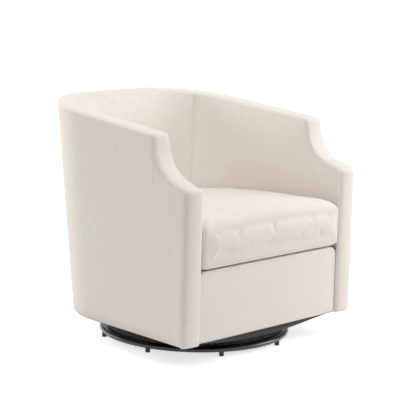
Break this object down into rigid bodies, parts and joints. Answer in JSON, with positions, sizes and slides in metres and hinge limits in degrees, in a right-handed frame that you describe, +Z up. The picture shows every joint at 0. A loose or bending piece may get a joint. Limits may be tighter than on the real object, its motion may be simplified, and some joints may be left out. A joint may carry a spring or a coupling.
{
  "type": "swivel barrel chair",
  "caption": "Upholstered barrel armchair with S-curved arms and a loose seat cushion, on a low round steel base that lets it swivel.",
  "frame": {"origin": "on the floor, under the middle of the chair's outline", "axes": "+Z up; -Y is the front of the seat, +X is the sitter's left"},
  "size_m": [0.7746, 0.7442, 0.7493],
  "materials": {
    "upholstery": "woven linen-look upholstery cloth, fine slubs",
    "foam": "open-cell foam",
    "zip_tape": "cloth zipper tape",
    "black_cloth": "non-woven black underside cloth",
    "deck_cloth": "plain platform cloth over felt",
    "webbing": "elastic webbing",
    "plywood": "raw plywood",
    "hardwood": "raw hardwood",
    "black_steel": "gloss black powder coat",
    "zinc_steel": "zinc-plated steel",
    "race_steel": "pressed bearing steel, oiled",
    "spring_steel": "drawn spring wire",
    "black_nylon": "black nylon"
  },
  "bodies": {
    "base": {"base_ring": "black_steel", "glides": "black_nylon", "base_pan": "black_steel", "pedestal": "black_steel", "lower_race": "race_steel", "pivot_bolt": "zinc_steel", "pivot_nut": "zinc_steel", "thrust_washer": "zinc_steel"},
    "bearing_set": {"bearing_balls": "race_steel", "ball_cage": "black_nylon"},
    "cushion": {"cushion_cover": "upholstery", "cushion_core": "foam", "cushion_zipper": "zip_tape"},
    "chair": {"outside_panel": "upholstery", "boxing_strip": "upholstery", "inside_back_pad": "upholstery", "inside_arm_pad_left": "upholstery", "inside_arm_pad_right": "upholstery", "front_rail_pad": "upholstery", "dust_cover": "black_cloth", "seat_deck": "deck_cloth", "back_webbing": "webbing", "arm_panel_left": "plywood", "arm_panel_right": "plywood", "bottom_frame": "plywood", "seat_frame": "plywood", "rear_spring_rail": "plywood", "top_rib": "plywood", "mount_board": "plywood", "front_rail_board": "hardwood", "corner_blocks": "hardwood", "cross_board_left": "hardwood", "cross_board_right": "hardwood", "lower_stiles": "hardwood", "upper_stiles": "hardwood", "swivel_plate": "zinc_steel", "swivel_bolts": "zinc_steel", "swivel_nuts": "zinc_steel", "spring_clips": "zinc_steel", "upper_race": "race_steel", "seat_springs": "spring_steel", "pivot_bush": "black_nylon"}
  },
  "joints": [
    {"name": "swivel", "type": "hinge", "parent": "base", "child": "chair", "pos_m": [0, -0.0481, 0.06], "axis": [0, 0, 1], "continuous": true},
    {"name": "bearing_turn", "type": "hinge", "parent": "base", "child": "bearing_set", "pos_m": [0, -0.0481, 0.055], "axis": [0, 0, 1], "continuous": true},
    {"name": "cushion_lift", "type": "slide", "parent": "chair", "child": "cushion", "axis": [0, 0, 1], "range_m": [0, 0.25]}
  ],
  "couplings": [
    {"joint": "bearing_turn", "follows": "swivel", "ratio": 0.5}
  ]
}
